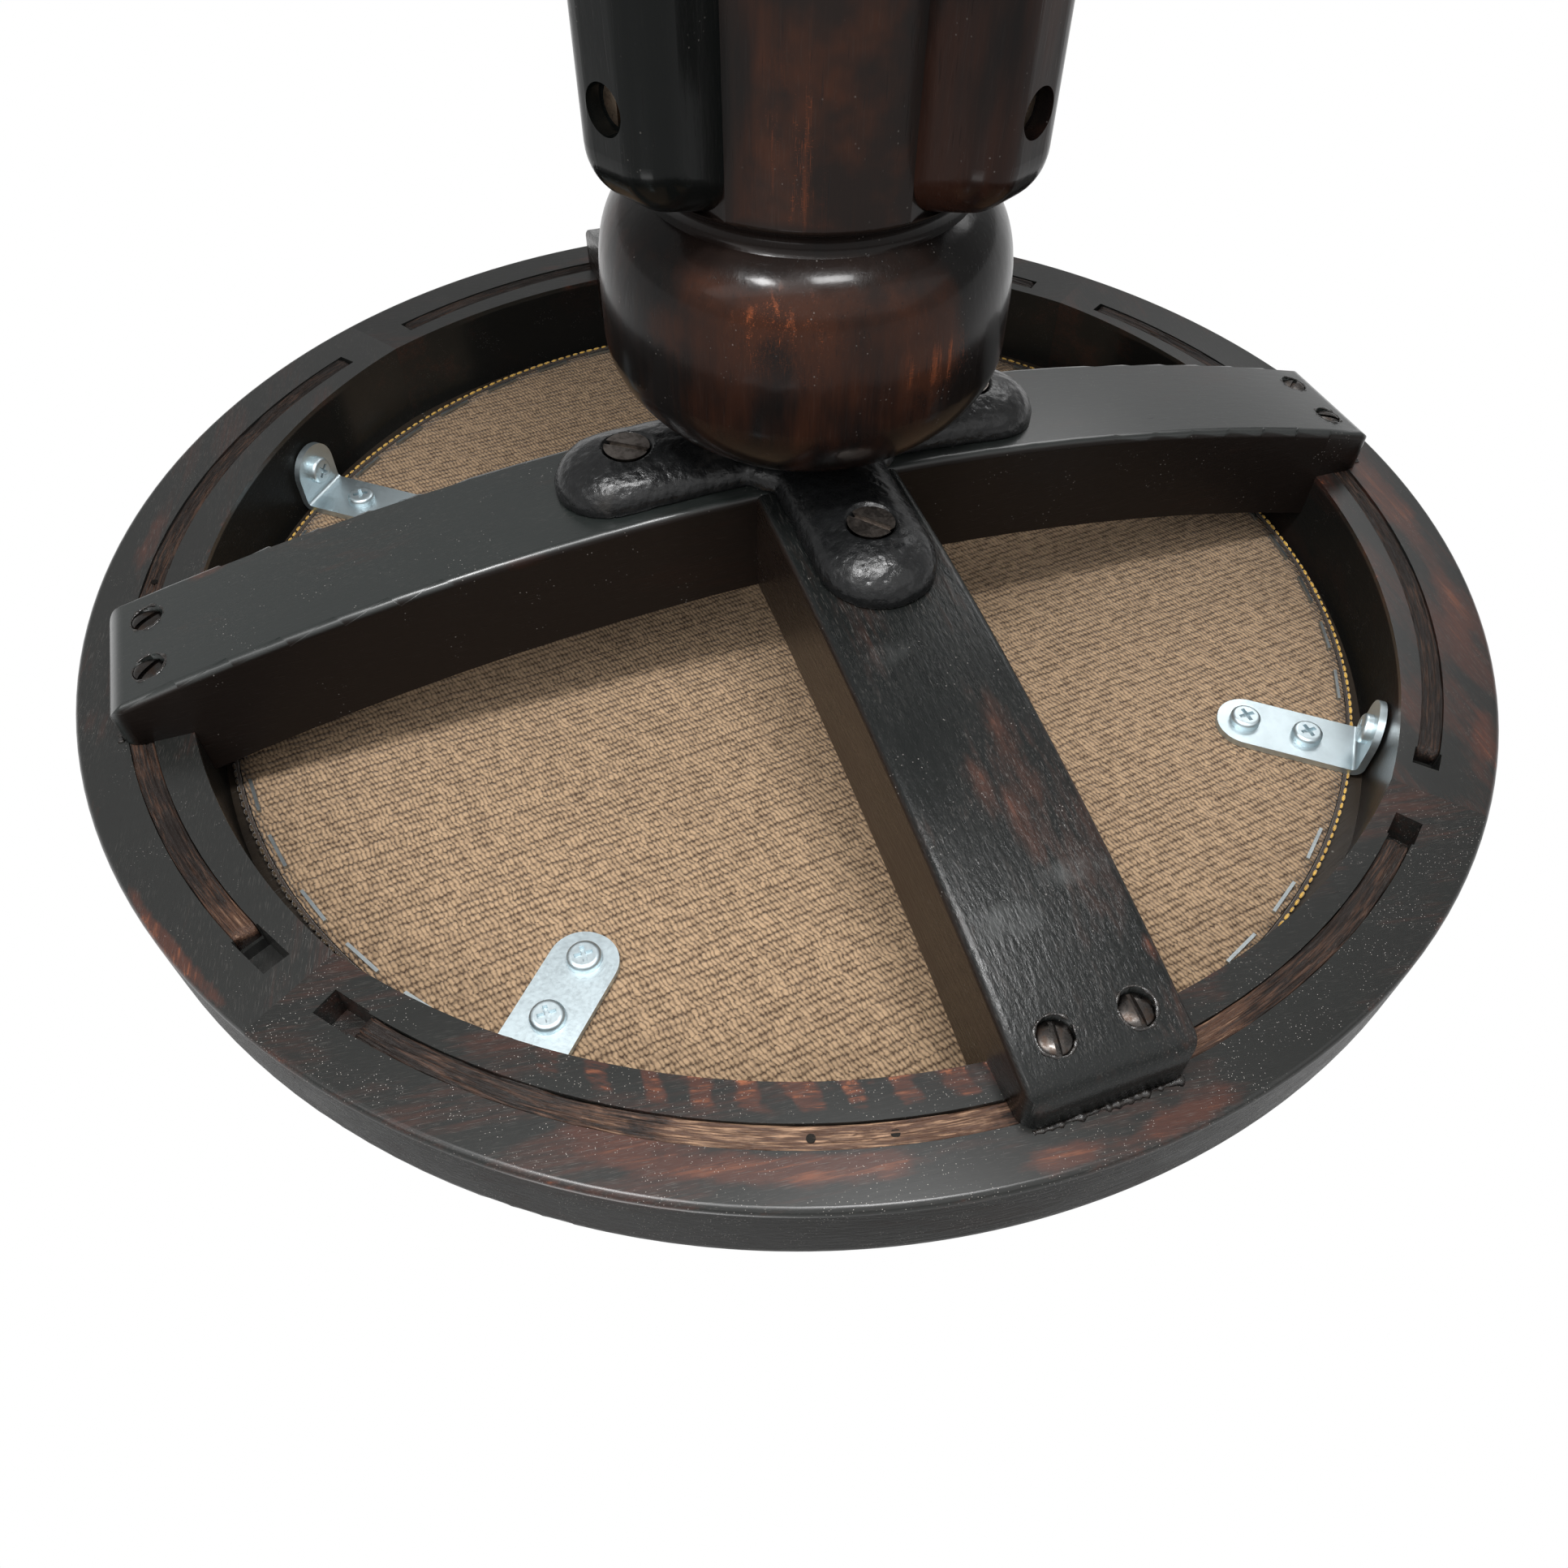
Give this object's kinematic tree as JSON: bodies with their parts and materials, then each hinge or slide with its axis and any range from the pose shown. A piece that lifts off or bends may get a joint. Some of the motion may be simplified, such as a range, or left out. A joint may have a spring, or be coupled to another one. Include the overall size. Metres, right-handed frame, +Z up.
{
  "type": "piano stool",
  "caption": "Round revolving piano stool: upholstered seat on a ring frame with crossed arched arms, a screw spindle and a turned column on swept legs.",
  "frame": {"origin": "floor, on the axis of the column and spindle", "axes": "+Z up along the spindle, +X along one cross arm, -Y towards the viewer's side of the picture"},
  "size_m": [0.36, 0.36, 0.4819],
  "materials": {
    "ebonised_wood": "worn shellac over black stain",
    "raw_wood": "bare",
    "black_iron": "gloss black enamel",
    "dark_steel": "aged dark steel",
    "brass_bush": "turned",
    "zinc_steel": "bright zinc plate",
    "underside_fabric": "ribbed tweed, wrong side",
    "gold_trim": "gold thread",
    "stuffing": "horsehair and wadding",
    "seat_fabric": "ribbed tweed",
    "glide_plastic": "satin"
  },
  "bodies": {
    "base": {"turned_column": "ebonised_wood", "spindle_nut_plate": "dark_steel", "nut_plate_screws": "dark_steel", "leg_right": "ebonised_wood", "leg_back": "ebonised_wood", "leg_left": "ebonised_wood", "leg_front": "ebonised_wood", "leg_dowels": "raw_wood", "leg_screws": "dark_steel", "foot_glides": "glide_plastic"},
    "guide_bush": {"spindle_guide_bush": "brass_bush"},
    "seat": {"seat_ring_front": "ebonised_wood", "seat_ring_right": "ebonised_wood", "seat_ring_back": "ebonised_wood", "seat_ring_left": "ebonised_wood", "ring_joint_tongues": "raw_wood", "groove_strips": "raw_wood", "strip_nails": "dark_steel", "cross_arm_side_to_side": "ebonised_wood", "cross_arm_front_to_back": "ebonised_wood", "arm_end_screws": "dark_steel", "iron_spider": "black_iron", "spider_screws": "dark_steel", "screw_spindle": "dark_steel", "spindle_washer": "dark_steel", "spindle_nut": "dark_steel", "spindle_end_washer": "dark_steel", "spindle_end_screw": "dark_steel", "seat_brackets": "zinc_steel", "bracket_screws": "zinc_steel", "seat_board": "raw_wood", "underside_cloth": "underside_fabric", "cloth_edging": "gold_trim", "cloth_staples": "zinc_steel", "seat_stuffing": "stuffing", "seat_cover": "seat_fabric", "seat_gimp": "gold_trim"}
  },
  "joints": [
    {"name": "seat_rise", "type": "slide", "parent": "base", "child": "guide_bush", "axis": [0, 0, 1], "range_m": [0, 0.0961]},
    {"name": "seat_turn", "type": "hinge", "parent": "guide_bush", "child": "seat", "pos_m": [0, 0, 0.3], "axis": [0, 0, 1], "range_deg": [0, 5760]}
  ],
  "couplings": [
    {"joint": "seat_rise", "follows": "seat_turn", "m_per_rad": 0.00095493}
  ]
}
